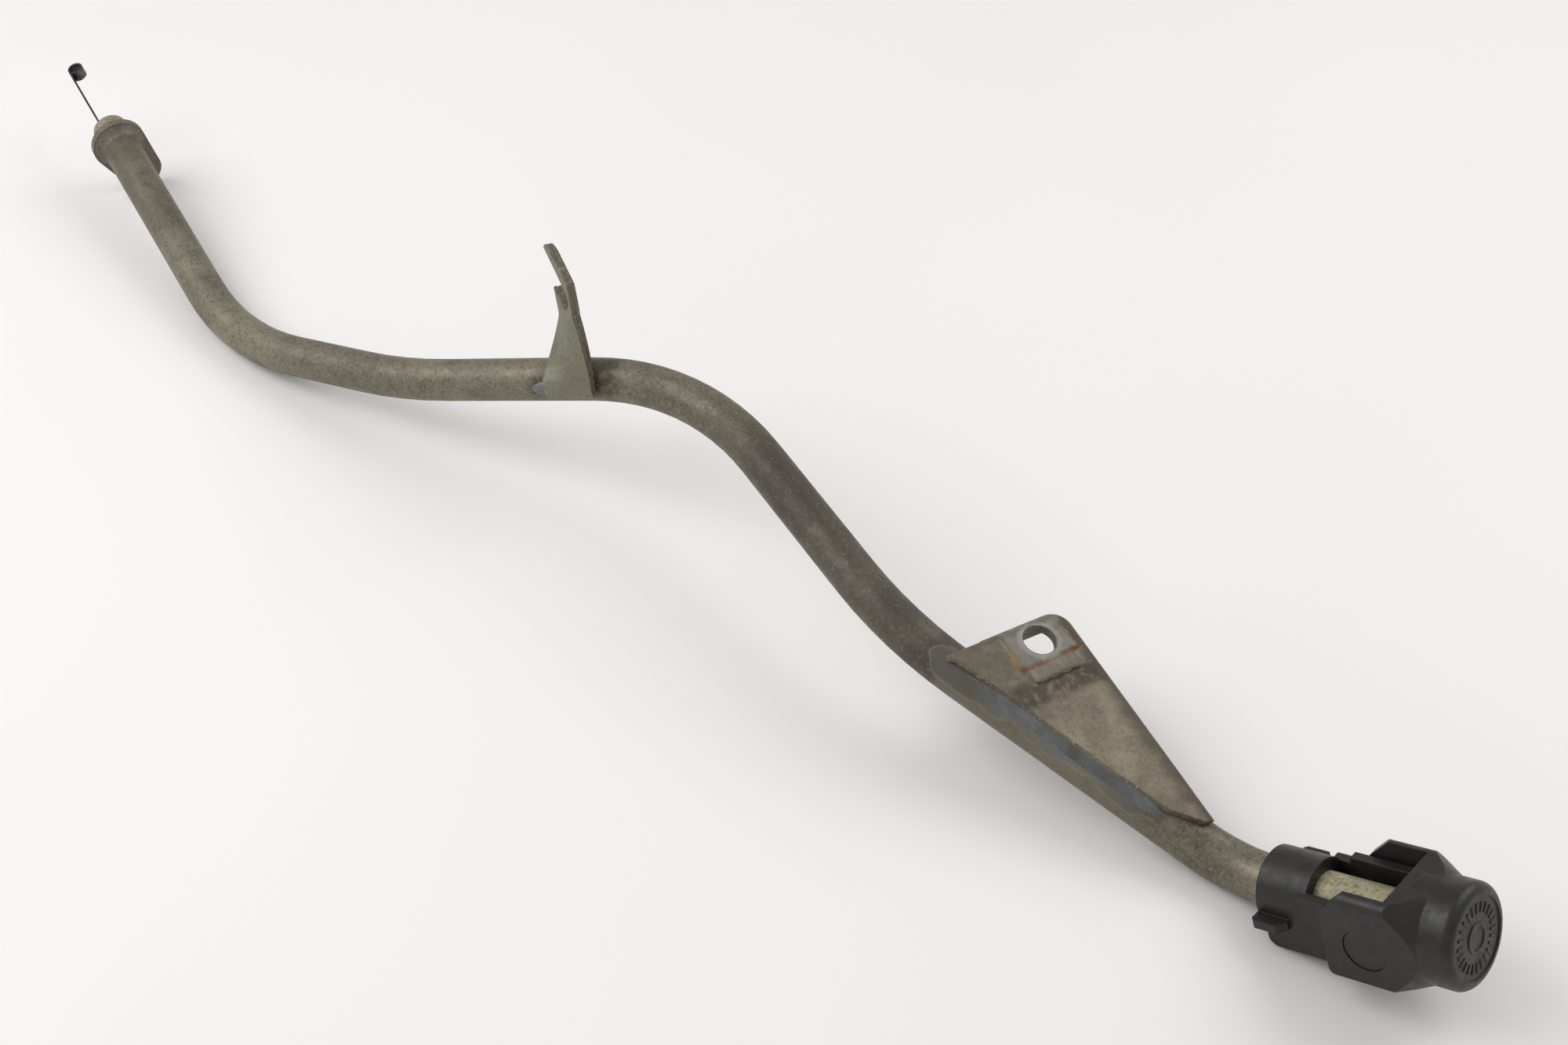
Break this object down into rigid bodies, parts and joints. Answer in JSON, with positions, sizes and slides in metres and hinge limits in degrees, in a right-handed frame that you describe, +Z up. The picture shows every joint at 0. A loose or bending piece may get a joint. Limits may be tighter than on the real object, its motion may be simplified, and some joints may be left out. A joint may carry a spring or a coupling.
{
  "type": "engine oil dipstick with guide tube",
  "caption": "Bent steel guide tube with a sprung dipstick blade inside, a foot flange, two brazed brackets and a hinged plastic filler cap.",
  "frame": {"origin": "middle of the bounding box, on the ground", "axes": "+X from the spigot end to the cap end, +Z up from the surface it lies on"},
  "size_m": [0.6832, 0.0692, 0.0832],
  "materials": {
    "tube_zinc": "aged yellow zinc plate, stained",
    "flange_steel": "aged zinc plate with grime",
    "bracket_zinc": "aged yellow zinc plate, stained",
    "braze": "brazing metal with blue-grey heat tint",
    "black_plastic": "satin moulded black",
    "seal_rubber": "matt",
    "ring_rubber": "matt",
    "head_plastic": "satin",
    "blade_steel": "dark tempered spring steel"
  },
  "bodies": {
    "tube": {"guide_tube": "tube_zinc", "lower_flange": "flange_steel", "flange_braze": "braze", "mid_bracket": "bracket_zinc", "mid_braze": "braze", "upper_bracket": "bracket_zinc", "upper_braze": "braze", "cap_collar": "black_plastic", "dipstick_blade": "blade_steel", "dipstick_head": "head_plastic", "head_ring": "ring_rubber"},
    "cap": {"flip_cap": "black_plastic", "cap_seal": "seal_rubber"}
  },
  "joints": [
    {"name": "cap_hinge", "type": "hinge", "parent": "tube", "child": "cap", "pos_m": [0.31346, 0.00806, 0.02317], "axis": [-0.0032, 0.9997, -0.0233], "range_deg": [0, 85]}
  ]
}
